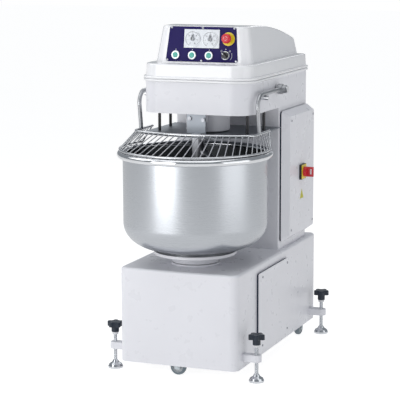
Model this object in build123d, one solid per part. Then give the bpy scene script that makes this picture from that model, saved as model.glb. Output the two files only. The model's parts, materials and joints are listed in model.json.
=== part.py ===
from build123d import *
import math
import os

# A spiral dough mixer with a fixed bowl of about 130 litres. Millimetres, +Z up, front towards -Y.
# The origin is on the floor, at the middle of the machine's width and depth.

# ---------------------------------------------------------------- driving dimensions
SHEET = 4                               # thickness of the welded sheet steel
SLIDE_GAP = 0.3                         # clearance between a button or knob and its bore
SHAFT_GAP = 0.05                        # radial clearance of a running shaft
BOLT_RADIUS = 5

BASE_HALF_WIDTH = 271
BASE_Y = (-475, 601)
BASE_Z = (56, 470)
BASE_CORNERS = (34, 20)                 # upright corner radii at the front and at the rear
BASE_TOP_ROUNDING = 12
BASE_SHELF_Z = (309, 315)               # the shelf that carries the bowl's motor
SHELF_HALF_DEPTH = 100
CROSS_MEMBER_THICKNESS = 6
FRONT_MEMBER_Y = (-440, -368)
FRONT_MEMBER_BOTTOM = 88
REAR_MEMBER_Y = (412, 502)
REAR_MEMBER_BOTTOM = 80
COLUMN_HALF_WIDTH = 248
COLUMN_Y = (132, 521)
COLUMN_CORNERS = (8, 10)
CABINET_OPENING_Y = (180, 485)
CABINET_OPENING_Z = (535, 1060)
VENT_HALF_SIZE = (55, 4)                # half the width and half the height of one cooling slot
VENT_X = 75
VENT_Z = range(620, 813, 24)
HEAD_HALF_WIDTH = 253
HEAD_Y = (-278, 510)
HEAD_Z = (1119, 1255)
HEAD_CORNER = 90                        # large upright corners at the front of the head
HEAD_REAR_CORNER = 15
CABLE_HOLE_HALF_WIDTH = 60              # the cable way from base to column and from column to head
BASE_CABLE_HOLE_Y = (380, 450)
HEAD_CABLE_HOLE_Y = (445, 500)
BREAKER_LUG_BOTTOM = 1082
BREAKER_LUG_DEPTH = 18

FLANGE_Z = (HEAD_Z[1], 1278)            # the beaded flange of the head's cover
FLANGE_HALF_WIDTH = 262
FLANGE_Y = (-287, 519)
FLANGE_CORNERS = (99, 24)
SKIRT_TOP_Z = 1331
SKIRT_TAPER = 4                         # degrees
HOOD_WALL = 4
HOOD_FOOT_HALF_WIDTH = 225
HOOD_TOP_HALF_WIDTH = 200
HOOD_CORNER = 45
HOOD_RIM = 10
HOOD_REAR_Y = 488
ROOF_FLAT_REAR_Y = -90                  # where the flat roof begins to curve down to the rear
ROOF_REAR = (470, 1396)
MACHINE_TOP = 1489

BOWL_Y = -264                           # bowl axis, at X = 0
BOWL_RADIUS = 312
BOWL_WALL = 3
BOWL_BOTTOM = 538
KNUCKLE = (150, 115)                    # width and height of the bowl's rounded bottom edge
BEAD_CENTRE_RADIUS = 322
BEAD_RADIUS = 15
BEAD_Z = 950
BOWL_BOSS_RADIUS = 142
BOWL_BOLT_CIRCLE = 125
BOWL_BOLT_COUNT = 8
BOWL_BOLT_TOP = 536
FLANGE_DISC_Z = (515, 527)              # the disc under the bowl
FLANGE_DISC_RADIUS = 180
HUB_Z = (481, FLANGE_DISC_Z[0])
HUB_RADIUS = 104
HUB_SPIGOT_RADIUS = 40
BOWL_COLLAR_TOP = 478                   # the fixed collar on the base, just below the hub
BOWL_COLLAR_RADIUS = 106
BOWL_BARREL_RADIUS = 70
BOWL_BARREL_BOTTOM = 334
BOWL_BEARINGS_Z = (345, 440)

SPIRAL_Y = BOWL_Y + 155                 # spiral axis, at X = 0, behind the bowl axis
SPIRAL_BAR_RADIUS = 20
SPIRAL_SWEEP = 101                      # radius of the bar's centre line at the wide part
SPIRAL_Z = (575, 1000)                  # lowest and highest point of the bar's centre line
SPIRAL_REST_ANGLE = -60                 # where the bar's low end points at rest, in degrees
SPIRAL_TURNS = 1.25
SPIRAL_START_RADIUS = 30                # the bar's centre line where it leaves the collar
SPIRAL_SWING_SHARE = 0.45               # share of the height in which it swings out
SPIRAL_CURL_SHARE = 0.88                # share of the height at which the end begins to curl in
SPIRAL_END_RADIUS = 60
SPIRAL_STEPS = 20
SPIRAL_COLLAR_RADIUS = 54
SPIRAL_NECK_RADIUS = 34
SPIRAL_BARREL_RADIUS = 70
SPIRAL_HOUSING_RADIUS = 96
SPIRAL_HOUSING_Z = (1034, 1186)
SPIRAL_BEARINGS_Z = (1050, 1158)

BRACKET_HALF_WIDTH = 43
BRACKET_Y = (-250, -242)
BRACKET_Z = (1034, HEAD_Z[0])
BREAKER_BOLT_PLACES = [(-28, 1098), (33, 1094)]
BREAKER_Y = -250
BREAKER_BOTTOM = 556
COVER_PLATE_Z = (1026, 1030)
COVER_PLATE_SIDE = 256
COVER_PLATE_CORNER = 34
POST_RADIUS = 6.5
POST_PLACES = [(205, -169), (222, -4)]

SHAFT_RADIUS = 25
BEARING_RADIUS = 50
BEARING_WIDTH = 24
BIG_PULLEY_RADIUS = 148
MOTOR_PULLEY_RADIUS = 45
ROTOR_RADIUS = 14
BELT_THICKNESS = 7
PULLEY_HEIGHT = 46
BOWL_PULLEY_Z = 252
SPIRAL_PULLEY_Z = 1194
BOWL_MOTOR_Y = 230
SPIRAL_MOTOR_Y = 320
MOTOR_HOLE_RADIUS = 35

PIVOT_Y = 69                            # the guard's hinge line, across the head
PIVOT_Z = 1206
PIVOT_PIN_RADIUS = 8
BARREL_RADII = (18, 23)
ARM_X = 274
ARM_RADIUS = 9
ARM_FRONT_Y = -239
ARM_FOOT_Y = -213
ARM_BEND = 52
STOP_PIN_RADIUS = 10
STOP_PIN_Y = -134
STOP_PIN_Z = PIVOT_Z - ARM_RADIUS - STOP_PIN_RADIUS - SLIDE_GAP
GUARD_FRAME_Z = 1038
GUARD_FRAME_RADIUS = 6
GUARD_SIDE_X = 276
GUARD_SIDE_REAR_Y = -84
GUARD_FRONT_Y = -356
GUARD_RING_RADIUS = 325
GUARD_RING_Z = 972
GUARD_RING_WIRE = 4.5
GUARD_RING_HALF_SPAN = 113              # degrees each way from straight ahead
GUARD_WIRE_RADIUS = 2.5
GUARD_WIRE_COUNT = 37

PANEL_TILT = math.degrees(math.atan2(22, 152))
PANEL_CENTRE = (0, -175, 1412)
PANEL_HEIGHT = 152
PANEL_THICKNESS = 2
PANEL_HALF_WIDTHS = (167, 153)          # at the lower and at the upper edge
OPERATOR_BORE = 12.3                    # inside radius of a push-button bezel
BEZEL_RADIUS = 19
BEZEL_HEIGHT = 8                        # heights on the panel are from the hood's face outwards
BUTTON_HEIGHT = 10
SPINDLE_DEPTH = -12
BUTTON_PLACES = {"left": (-121, -48), "middle": (-44, -48), "right": (34, -48)}
SELECTOR_PLACE = (110, -46)
SELECTOR_REST_ANGLE = 45                # the grip points up and to the left
ESTOP_PLACE = (120, 25)
ESTOP_STEM_RADIUS = 8
ESTOP_SPIGOT_RADIUS = 5
ESTOP_DISC_RADIUS = 29
ESTOP_HEAD_RADIUS = 21
ESTOP_HEAD = (24, 42)
TIMER_PLATE_PLACE = (-2, 24)
TIMER_PLATE_SIZE = (163, 80)
TIMER_PLATE_FACE = 5
DIAL_RADIUS = 36
DIAL_FACE = 7
TIMER_SPINDLE_RADIUS = 4
TIMER_KNOB_RADIUS = 8
TIMER_KNOB_FACE = 18
TIMER_PLACES = {"left": (-44, 22), "right": (37, 21)}
PANEL_SCREW_PLACES = [(-144, 71), (0, 71), (145, 71), (-159, -70), (0, -71), (159, -70)]

GASKET = 8
DOOR_Y = (136, 518)
DOOR_Z = (503, 1098)
DOOR_X = COLUMN_HALF_WIDTH + GASKET
DOOR_DEPTH = 34
DOOR_FACE_X = DOOR_X + DOOR_DEPTH
DOOR_BEVEL = 25
DOOR_REAR_BEVEL = 10
DOOR_WALL = 3
SIDE_PLATE_Y = (-229, 171)
SIDE_PLATE_Z = (84, 431)
SIDE_PLATE_X = BASE_HALF_WIDTH + GASKET
SIDE_PLATE_THICKNESS = 3
SERVICE_HOLE_INSET = 24
SCREW_HEAD_RADIUS = 5
SWITCH_Y = 327
SWITCH_Z = 804
SWITCH_BOX_DEPTH = 11
SWITCH_BOX_HALF = 34
SWITCH_PLATE_HALF = 32
SWITCH_PLATE_THICKNESS = 2

JACK_X = 329
JACK_YS = {"front": -391, "rear": 525}
STUD_RADIUS = 8
PAD_RADIUS = 33
LUG_Z = (88, 118)
LUG_RADIUS = 22
COLLAR_Z = (152, 162)                   # the pale collar under each star knob
COLLAR_RADIUS = 14
KNOB_Z = (186, 208)
KNOB_NECK_RADIUS = 17
KNOB_BODY_RADIUS = 26
KNOB_LOBES = 5
KNOB_LOBE_RADIUS = 11

WHEEL_RADIUS = 36
WHEEL_WIDTH = 24
AXLE_RADIUS = 5
CHEEK_THICKNESS = 3
FORK_TOP = 80
FRONT_CASTER_Y = -404
CASTER_TRAIL = 24
CASTER_PLATE_HALF = 30
REAR_CASTER_X = 238
REAR_CASTER_Y = 457


# ---------------------------------------------------------------- shape helpers
def block(x, y, z):
    """A box from its low and high limits along each axis."""
    size = [high - low for low, high in (x, y, z)]
    middle = [(high + low) / 2 for low, high in (x, y, z)]
    return Pos(*middle) * Box(*size)


def around(middle, half):
    """The limits at an equal distance each side of a middle."""
    return middle - half, middle + half


def upright(radius, z, x=0.0, y=0.0):
    """A vertical cylinder between two heights."""
    return Pos(x, y, (z[0] + z[1]) / 2) * Cylinder(radius, z[1] - z[0])


def crosswise(radius, x, y, z):
    """A cylinder along X between two places."""
    return Pos((x[0] + x[1]) / 2, y, z) * Rot(0, 90, 0) * Cylinder(radius, x[1] - x[0])


def round_corners(half_width, y, front_radius, rear_radius):
    """A plan outline with one radius at its front corners and another at its rear corners."""
    plan = Pos(0, (y[0] + y[1]) / 2) * Rectangle(2 * half_width, y[1] - y[0])
    plan = fillet(plan.vertices().sort_by(Axis.Y)[:2], front_radius)
    return fillet(plan.vertices().sort_by(Axis.Y)[-2:], rear_radius)


def prism(half_width, y, z, front_radius, rear_radius):
    """An upright prism on a plan with rounded corners."""
    plan = round_corners(half_width, y, front_radius, rear_radius)
    return Pos(0, 0, z[0]) * extrude(plan, z[1] - z[0])


def turned(points, x=0.0, y=0.0):
    """A solid of revolution from (radius, height) points, about a vertical axis."""
    outline = make_face(Polyline(*points, close=True))
    return Pos(x, y, 0) * revolve(Plane.XZ * outline, Axis.Z)


def tube_along(path, radius):
    """A round bar along a path."""
    start = Plane(origin=path @ 0, z_dir=path % 0)
    return sweep(start * Circle(radius), path=path)


def rod_between(start, end, radius):
    """A straight round bar from one point to another."""
    start, end = Vector(*start), Vector(*end)
    along = end - start
    return Plane(origin=start, z_dir=along) * Pos(0, 0, along.length / 2) * Cylinder(radius, along.length)


def group(*shapes):
    """Separate solids that share one node."""
    return Compound([solid for shape in shapes for solid in shape.solids()])


def both_sides(shape):
    """A shape on the right of the machine and its mirror image on the left."""
    return [shape, mirror(shape, Plane.YZ)]


def save(name, shape):
    """Write one node."""
    export_step(shape, f"parts/{name}.step")


# ---------------------------------------------------------------- base, column and head
def base_frame():
    """The welded base box, open below, with its service hole on the right."""
    front, rear = BASE_CORNERS
    shell = prism(BASE_HALF_WIDTH, BASE_Y, BASE_Z, front, rear)
    shell = fillet(shell.faces().sort_by(Axis.Z)[-1].edges(), BASE_TOP_ROUNDING)
    inner_y = (BASE_Y[0] + SHEET, BASE_Y[1] - SHEET)
    inner_top = BASE_Z[1] - SHEET
    inner_half = BASE_HALF_WIDTH - SHEET
    hollow = prism(inner_half, inner_y, (BASE_Z[0] - 1, inner_top), front - SHEET, rear - SHEET)
    hollow = fillet(hollow.faces().sort_by(Axis.Z)[-1].edges(), BASE_TOP_ROUNDING - SHEET)
    shell -= hollow
    top_cut = (inner_top - 1, BASE_Z[1] + 1)
    shell -= upright(BOWL_BARREL_RADIUS, top_cut, y=BOWL_Y)
    shell -= block((-CABLE_HOLE_HALF_WIDTH, CABLE_HOLE_HALF_WIDTH), BASE_CABLE_HOLE_Y, top_cut)
    hole_y = (SIDE_PLATE_Y[0] + SERVICE_HOLE_INSET, SIDE_PLATE_Y[1] - SERVICE_HOLE_INSET)
    hole_z = (SIDE_PLATE_Z[0] + SERVICE_HOLE_INSET, SIDE_PLATE_Z[1] - SERVICE_HOLE_INSET)
    return shell - block((inner_half - 1, BASE_HALF_WIDTH + 1), hole_y, hole_z)


def base_cross_members():
    """The motor shelf across the base and the two members that carry the casters."""
    across = (-(BASE_HALF_WIDTH - SHEET), BASE_HALF_WIDTH - SHEET)
    shelf_y = (BOWL_MOTOR_Y - SHELF_HALF_DEPTH, BOWL_MOTOR_Y + SHELF_HALF_DEPTH)
    shelf = block(across, shelf_y, BASE_SHELF_Z)
    shelf -= upright(MOTOR_HOLE_RADIUS, (BASE_SHELF_Z[0] - 1, BASE_SHELF_Z[1] + 1), y=BOWL_MOTOR_Y)
    members = [shelf]
    for y, bottom in ((FRONT_MEMBER_Y, FRONT_MEMBER_BOTTOM), (REAR_MEMBER_Y, REAR_MEMBER_BOTTOM)):
        members.append(block(across, y, (bottom, bottom + CROSS_MEMBER_THICKNESS)))
    return group(*members)


def column_frame():
    """The hollow column, with the electrical opening on its right and cooling slots behind."""
    front, rear = COLUMN_CORNERS
    inner_y = (COLUMN_Y[0] + SHEET, COLUMN_Y[1] - SHEET)
    height = (BASE_Z[1], HEAD_Z[0])
    shell = prism(COLUMN_HALF_WIDTH, COLUMN_Y, height, front, rear)
    through = (height[0] - 1, height[1] + 1)
    shell -= prism(COLUMN_HALF_WIDTH - SHEET, inner_y, through, front - SHEET, rear - SHEET)
    opening_x = (COLUMN_HALF_WIDTH - SHEET - 1, COLUMN_HALF_WIDTH + 1)
    shell -= block(opening_x, CABINET_OPENING_Y, CABINET_OPENING_Z)
    half_width, half_height = VENT_HALF_SIZE
    for x in (-VENT_X, VENT_X):
        for z in VENT_Z:
            slot_z = (z - half_height, z + half_height)
            shell -= block((x - half_width, x + half_width), (inner_y[1] - 1, COLUMN_Y[1] + 1), slot_z)
    return shell


def head_frame():
    """The open-topped head box that holds the spiral drive, with its breaker lug and hinge bosses."""
    inner_y = (HEAD_Y[0] + SHEET, HEAD_Y[1] - SHEET)
    inner_half = HEAD_HALF_WIDTH - SHEET
    floor_top = HEAD_Z[0] + SHEET
    shell = prism(HEAD_HALF_WIDTH, HEAD_Y, HEAD_Z, HEAD_CORNER, HEAD_REAR_CORNER)
    shell -= prism(inner_half, inner_y, (floor_top, HEAD_Z[1] + 1), HEAD_CORNER - SHEET,
                   HEAD_REAR_CORNER - SHEET)
    floor_cut = (HEAD_Z[0] - 1, floor_top + 1)
    shell -= upright(SPIRAL_BARREL_RADIUS, floor_cut, y=SPIRAL_Y)
    shell -= upright(MOTOR_HOLE_RADIUS, floor_cut, y=SPIRAL_MOTOR_Y)
    shell -= block((-CABLE_HOLE_HALF_WIDTH, CABLE_HOLE_HALF_WIDTH), HEAD_CABLE_HOLE_Y, floor_cut)
    lug_y = (BRACKET_Y[1], BRACKET_Y[1] + BREAKER_LUG_DEPTH)
    shell += block((-BRACKET_HALF_WIDTH, BRACKET_HALF_WIDTH), lug_y, (BREAKER_LUG_BOTTOM, HEAD_Z[0]))
    for screw_x, screw_z in BREAKER_BOLT_PLACES:
        shell -= rod_between((screw_x, lug_y[0] - 1, screw_z), (screw_x, lug_y[1] + 1, screw_z), BOLT_RADIUS)
    boss = crosswise(20, (inner_half - 20, inner_half), PIVOT_Y, PIVOT_Z)
    for side in both_sides(boss):
        shell += side
    pin_hole = crosswise(PIVOT_PIN_RADIUS, (inner_half - 30, HEAD_HALF_WIDTH + 1), PIVOT_Y, PIVOT_Z)
    stop_hole = crosswise(STOP_PIN_RADIUS, (inner_half - 1, HEAD_HALF_WIDTH + 1), STOP_PIN_Y, STOP_PIN_Z)
    for hole in both_sides(pin_hole) + both_sides(stop_hole):
        shell -= hole
    return shell


# ---------------------------------------------------------------- head cover
def hood_front(z):
    """Where the hood's tilted front face stands at a height."""
    return PANEL_CENTRE[1] + (z - PANEL_CENTRE[2]) * math.tan(math.radians(PANEL_TILT))


def hood(inset):
    """The raised hood on a drafted plan with a roof that curves down to the rear, shrunk by inset."""
    foot, top = SKIRT_TOP_Z - HOOD_WALL, MACHINE_TOP - inset
    front_foot = (hood_front(foot) + inset, foot)
    front_top = (hood_front(top) + inset, top)
    roof_break = (ROOF_FLAT_REAR_Y, top)
    roof_rear = (ROOF_REAR[0] - inset, ROOF_REAR[1] - inset)
    rear_foot = (HOOD_REAR_Y - inset, foot)
    profile = make_face([
        Line(front_foot, front_top), Line(front_top, roof_break),
        TangentArc(roof_break, roof_rear, tangent=(1, 0)),
        Line(roof_rear, rear_foot), Line(rear_foot, front_foot)])
    slab = extrude(Plane.YZ * profile, HOOD_FOOT_HALF_WIDTH, both=True)
    middle_y = (front_foot[0] + HOOD_REAR_Y) / 2
    depth = 2 * (HOOD_REAR_Y - front_foot[0])
    low = Pos(0, middle_y, foot) * Rectangle(2 * (HOOD_FOOT_HALF_WIDTH - inset), depth)
    high = Pos(0, middle_y, MACHINE_TOP) * Rectangle(2 * (HOOD_TOP_HALF_WIDTH - inset), depth)
    body = slab & loft([low, high])
    upright_edges = [e for e in body.edges() if e.center().Z < MACHINE_TOP - 30
                     and abs(e.tangent_at(0.5).Z) > 0.8 and abs(e.center().X) > 150]
    body = fillet(upright_edges, HOOD_CORNER - inset)
    rim = [e for e in body.edges() if e.bounding_box().min.Z > SKIRT_TOP_Z + 20
           and not (abs(e.tangent_at(0.5).Z) > 0.8)
           and not (abs(e.tangent_at(0.5).X) > 0.95 and abs(e.center().X) < 1
                    and front_top[0] + 20 < e.center().Y < ROOF_REAR[0] - 20)]
    return fillet(rim, HOOD_RIM - inset)


def head_cover():
    """The moulded cover over the head: beaded flange, tapered skirt and hood, open below."""
    bead_gap = 1
    bead_height = (FLANGE_Z[1] - FLANGE_Z[0] - bead_gap) / 2
    cover = None
    for bottom in (FLANGE_Z[0], FLANGE_Z[1] - bead_height):
        bead = prism(FLANGE_HALF_WIDTH, FLANGE_Y, (bottom, bottom + bead_height), *FLANGE_CORNERS)
        rims = bead.faces().sort_by(Axis.Z)[0].edges() + bead.faces().sort_by(Axis.Z)[-1].edges()
        bead = fillet(rims, bead_height / 2 - 0.5)
        cover = bead if cover is None else cover + bead
    skirt_y = (HEAD_Y[0] - 1, HEAD_Y[1] + 1)
    plan = round_corners(HEAD_HALF_WIDTH + 1, skirt_y, HEAD_CORNER + 1, HEAD_REAR_CORNER + 1)
    skirt = Pos(0, 0, FLANGE_Z[0]) * extrude(plan, SKIRT_TOP_Z - FLANGE_Z[0], taper=SKIRT_TAPER)
    skirt = fillet(skirt.faces().sort_by(Axis.Z)[-1].edges(), 6)
    cover += skirt
    cover += hood(0)
    inner_y = (HEAD_Y[0] + SHEET, HEAD_Y[1] - SHEET)
    inner_plan = round_corners(HEAD_HALF_WIDTH - SHEET, inner_y, HEAD_CORNER - SHEET,
                               HEAD_REAR_CORNER - SHEET)
    inner_height = SKIRT_TOP_Z - HOOD_WALL - FLANGE_Z[0] + 1
    cover -= Pos(0, 0, FLANGE_Z[0] - 1) * extrude(inner_plan, inner_height, taper=SKIRT_TAPER)
    cover -= hood(HOOD_WALL)
    for place in [*BUTTON_PLACES.values(), SELECTOR_PLACE, ESTOP_PLACE, *TIMER_PLACES.values()]:
        cover -= panel_disc(place, OPERATOR_BORE + 3, -12, 1)
    for place in PANEL_SCREW_PLACES:
        cover -= panel_disc(place, 2.5, -12, 1)
    return cover


# ---------------------------------------------------------------- control panel
def panel_face():
    """The tilted plane on the front of the hood, with its normal towards the user."""
    tilt = math.radians(PANEL_TILT)
    return Plane(origin=PANEL_CENTRE, x_dir=(1, 0, 0), z_dir=(0, -math.cos(tilt), math.sin(tilt)))


def on_panel(place, low, high, shape):
    """Put a shape that is centred on its own height between two heights above the panel face."""
    return panel_face() * Pos(place[0], place[1], (low + high) / 2) * shape


def panel_disc(place, radius, low, high):
    """A disc on the panel, between two heights above the hood's face."""
    return on_panel(place, low, high, Cylinder(radius, high - low))


def control_panel():
    """The control plate, with the holes that its controls pass through."""
    half_height = PANEL_HEIGHT / 2
    low, high = PANEL_HALF_WIDTHS
    outline = make_face(Polyline((-low, -half_height), (low, -half_height), (high, half_height),
                                 (-high, half_height), close=True))
    plate = panel_face() * extrude(fillet(outline.vertices(), 9), PANEL_THICKNESS)
    holes = [(place, OPERATOR_BORE) for place in [*BUTTON_PLACES.values(), SELECTOR_PLACE]]
    holes += [(ESTOP_PLACE, ESTOP_STEM_RADIUS + 1)]
    holes += [(place, TIMER_SPINDLE_RADIUS + 2) for place in TIMER_PLACES.values()]
    holes += [(place, 2) for place in PANEL_SCREW_PLACES]
    for place, radius in holes:
        plate -= panel_disc(place, radius, -1, PANEL_THICKNESS + 1)
    return plate


def timer_plate():
    """The timers' shared front plate with two raised dial rings."""
    thickness = TIMER_PLATE_FACE - PANEL_THICKNESS
    plate = on_panel(TIMER_PLATE_PLACE, PANEL_THICKNESS, TIMER_PLATE_FACE, Box(*TIMER_PLATE_SIZE, thickness))
    for place in TIMER_PLACES.values():
        plate += panel_disc(place, DIAL_RADIUS, TIMER_PLATE_FACE, DIAL_FACE)
        plate -= panel_disc(place, TIMER_SPINDLE_RADIUS + SLIDE_GAP, PANEL_THICKNESS - 1, DIAL_FACE + 1)
    return plate


def timer_knob(place):
    """A pointer knob on its spindle."""
    knob = panel_disc(place, TIMER_SPINDLE_RADIUS, -10, DIAL_FACE + 1)
    knob += panel_disc(place, TIMER_KNOB_RADIUS, DIAL_FACE + 0.5, TIMER_KNOB_FACE)
    pointer = on_panel((place[0], place[1] + 9), DIAL_FACE + 2, TIMER_KNOB_FACE - 3, Box(5, 18, 6))
    return knob + pointer


def operator_bezel(place):
    """The ring of a panel operator."""
    ring = panel_disc(place, BEZEL_RADIUS, PANEL_THICKNESS, BEZEL_HEIGHT)
    ring = chamfer(ring.edges().filter_by(GeomType.CIRCLE).sort_by(Axis.Y)[0], 2)
    return ring - panel_disc(place, OPERATOR_BORE, PANEL_THICKNESS - 1, BEZEL_HEIGHT + 1)


def start_button(place):
    """A push button that slides in its bezel."""
    cap = panel_disc(place, OPERATOR_BORE - SLIDE_GAP, -6, BUTTON_HEIGHT)
    return fillet(cap.edges().filter_by(GeomType.CIRCLE).sort_by(Axis.Y)[0], 2)


def selector_knob():
    """A three-position switch knob with a grip bar."""
    knob = panel_disc(SELECTOR_PLACE, OPERATOR_BORE - SLIDE_GAP, -6, BEZEL_HEIGHT + 1)
    knob += panel_disc(SELECTOR_PLACE, 15, BEZEL_HEIGHT + 0.5, BEZEL_HEIGHT + 6)
    grip = on_panel(SELECTOR_PLACE, 13, 26, Rot(0, 0, SELECTOR_REST_ANGLE) * Box(9, 29, 13))
    return knob + grip


def estop_collar():
    """The yellow disc and barrel under the emergency stop."""
    disc_top, barrel_top = PANEL_THICKNESS + 2, ESTOP_HEAD[0] - 6
    collar = panel_disc(ESTOP_PLACE, ESTOP_DISC_RADIUS, PANEL_THICKNESS, disc_top)
    collar += panel_disc(ESTOP_PLACE, 15, disc_top, barrel_top)
    bore = panel_disc(ESTOP_PLACE, ESTOP_STEM_RADIUS + SLIDE_GAP, PANEL_THICKNESS - 1, barrel_top + 1)
    return collar - bore


def estop_stem():
    """The sliding stem of the emergency stop, with a spigot for the mushroom head."""
    shoulder = ESTOP_HEAD[0] - 2
    stem = panel_disc(ESTOP_PLACE, ESTOP_STEM_RADIUS, SPINDLE_DEPTH, shoulder)
    return stem + panel_disc(ESTOP_PLACE, ESTOP_SPIGOT_RADIUS, shoulder, ESTOP_HEAD[0] + 10)


def estop_head():
    """The mushroom head that turns on the stem."""
    low = ESTOP_HEAD[0]
    head = panel_disc(ESTOP_PLACE, ESTOP_HEAD_RADIUS, *ESTOP_HEAD)
    rims = head.edges().filter_by(GeomType.CIRCLE).sort_by(Axis.Y)
    head = fillet(rims[0], 9)
    return head - panel_disc(ESTOP_PLACE, ESTOP_SPIGOT_RADIUS + SHAFT_GAP, low - 1, low + 11)


# ---------------------------------------------------------------- side panels and main switch
def door_plane(x):
    """A plane that faces +X, with its own X along the machine's Y."""
    return Plane(origin=(x, 0, 0), x_dir=(0, 1, 0), z_dir=(1, 0, 0))


def side_rectangle(x, y, z, radius):
    """A rounded rectangle in a plane that faces +X."""
    rectangle = RectangleRounded(y[1] - y[0], z[1] - z[0], radius)
    return door_plane(x) * Pos((y[0] + y[1]) / 2, (z[0] + z[1]) / 2) * rectangle


def tray(x, inset, depth):
    """The bevelled body of the electrical cabinet's cover, shrunk by inset."""
    foot_y = (DOOR_Y[0] + inset, DOOR_Y[1] - inset)
    foot_z = (DOOR_Z[0] + inset, DOOR_Z[1] - inset)
    face_y = (foot_y[0] + DOOR_BEVEL, foot_y[1] - DOOR_REAR_BEVEL)
    face_z = (foot_z[0] + DOOR_BEVEL, foot_z[1] - DOOR_BEVEL)
    foot = side_rectangle(x, foot_y, foot_z, 18)
    face = side_rectangle(x + depth, face_y, face_z, 10)
    return loft([foot, face])


def corner_places(y, z):
    """Four screw places at the corners between two limits along Y and two along Z."""
    return [(place_y, place_z) for place_y in y for place_z in z]


DOOR_SCREWS = corner_places((DOOR_Y[0] + 46, DOOR_Y[1] - 25), (DOOR_Z[0] + 50, DOOR_Z[1] - 46))
SIDE_SCREWS = corner_places((SIDE_PLATE_Y[0] + 48, SIDE_PLATE_Y[1] - 16),
                            (SIDE_PLATE_Z[0] + 20, SIDE_PLATE_Z[1] - 22))


def cabinet_cover():
    """The tray-shaped cover of the electrical cabinet, hollow behind."""
    cover = tray(DOOR_X, 0, DOOR_DEPTH) - tray(DOOR_X, DOOR_WALL, DOOR_DEPTH - DOOR_WALL)
    cover -= crosswise(8, (DOOR_FACE_X - 5, DOOR_FACE_X + 1), SWITCH_Y, SWITCH_Z)
    for screw_y, screw_z in DOOR_SCREWS:
        cover -= crosswise(2, (DOOR_FACE_X - 5, DOOR_FACE_X + 1), screw_y, screw_z)
    return cover


def base_side_plate():
    """The flat service plate on the right of the base."""
    plate = extrude(side_rectangle(SIDE_PLATE_X, SIDE_PLATE_Y, SIDE_PLATE_Z, 8), SIDE_PLATE_THICKNESS)
    for screw_y, screw_z in SIDE_SCREWS:
        plate -= crosswise(2, (SIDE_PLATE_X - 1, SIDE_PLATE_X + 5), screw_y, screw_z)
    return plate


def gasket(x, y, z, border):
    """A foam frame behind a cover."""
    inner_y = (y[0] + border, y[1] - border)
    inner_z = (z[0] + border, z[1] - border)
    frame = side_rectangle(x, y, z, 14) - side_rectangle(x, inner_y, inner_z, 6)
    return extrude(frame, GASKET)


def panel_gaskets():
    """The dark seals behind the cabinet cover and behind the base's side plate."""
    door = gasket(COLUMN_HALF_WIDTH, (DOOR_Y[0] + 4, DOOR_Y[1] - 3), (DOOR_Z[0] + 3, DOOR_Z[1] - 3), 24)
    plate_y = (SIDE_PLATE_Y[0] + 2, SIDE_PLATE_Y[1] - 2)
    plate_z = (SIDE_PLATE_Z[0] + 2, SIDE_PLATE_Z[1] - 2)
    return group(door, gasket(BASE_HALF_WIDTH, plate_y, plate_z, 18))


def pan_head_screw(plane):
    """A pan-head screw whose head sits on a plane, with its shank below."""
    head = Pos(0, 0, 1.25) * Cylinder(SCREW_HEAD_RADIUS, 2.5)
    head = fillet(head.edges().filter_by(GeomType.CIRCLE).sort_by(Axis.Z)[-1], 1.2)
    return plane * (head + Pos(0, 0, -1) * Cylinder(2, 2))


def cover_screws():
    """All the pan-head screws of the control panel, cabinet cover and side plate."""
    screws = []
    for place in PANEL_SCREW_PLACES:
        face = panel_face() * Pos(place[0], place[1], PANEL_THICKNESS)
        screws.append(pan_head_screw(face))
    for face_x, places in ((DOOR_FACE_X, DOOR_SCREWS), (SIDE_PLATE_X + SIDE_PLATE_THICKNESS, SIDE_SCREWS)):
        for screw_y, screw_z in places:
            screws.append(pan_head_screw(door_plane(face_x) * Pos(screw_y, screw_z)))
    return group(*screws)


def isolator_base():
    """The black body of the main switch."""
    x = (DOOR_FACE_X, DOOR_FACE_X + SWITCH_BOX_DEPTH)
    body = block(x, around(SWITCH_Y, SWITCH_BOX_HALF), around(SWITCH_Z, SWITCH_BOX_HALF))
    return body - crosswise(5 + SLIDE_GAP, (x[0] - 1, x[1] + 1), SWITCH_Y, SWITCH_Z)


def isolator_plate():
    """The yellow plate of the main switch."""
    back = DOOR_FACE_X + SWITCH_BOX_DEPTH
    x = (back, back + SWITCH_PLATE_THICKNESS)
    plate = block(x, around(SWITCH_Y, SWITCH_PLATE_HALF), around(SWITCH_Z, SWITCH_PLATE_HALF))
    return plate - crosswise(5 + SLIDE_GAP, (x[0] - 1, x[1] + 1), SWITCH_Y, SWITCH_Z)


def isolator_handle():
    """The rotary handle of the main switch, with an eye for a padlock in its grip."""
    face = DOOR_FACE_X + SWITCH_BOX_DEPTH + SWITCH_PLATE_THICKNESS
    handle = crosswise(5, (DOOR_FACE_X - 6, face + 2), SWITCH_Y, SWITCH_Z)
    handle += crosswise(23, (face + 1, face + 16), SWITCH_Y, SWITCH_Z)
    handle += block((face + 10, face + 44), around(SWITCH_Y, 7), around(SWITCH_Z, 22))
    return handle - block((face + 28, face + 37), around(SWITCH_Y, 8), around(SWITCH_Z, 13))


def electrics_panel():
    """The mounting plate in the column with its row of contactors and a terminal rail."""
    plate_x = (-COLUMN_HALF_WIDTH + SHEET, -COLUMN_HALF_WIDTH + SHEET + 3)
    plate = block(plate_x, (170, 480), (560, 820))
    for index in range(4):
        low = 190 + index * 70
        plate += block((plate_x[1], plate_x[1] + 75), (low, low + 48), (710, 790))
    return plate + block((plate_x[1], plate_x[1] + 40), (190, 460), (590, 640))


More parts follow.
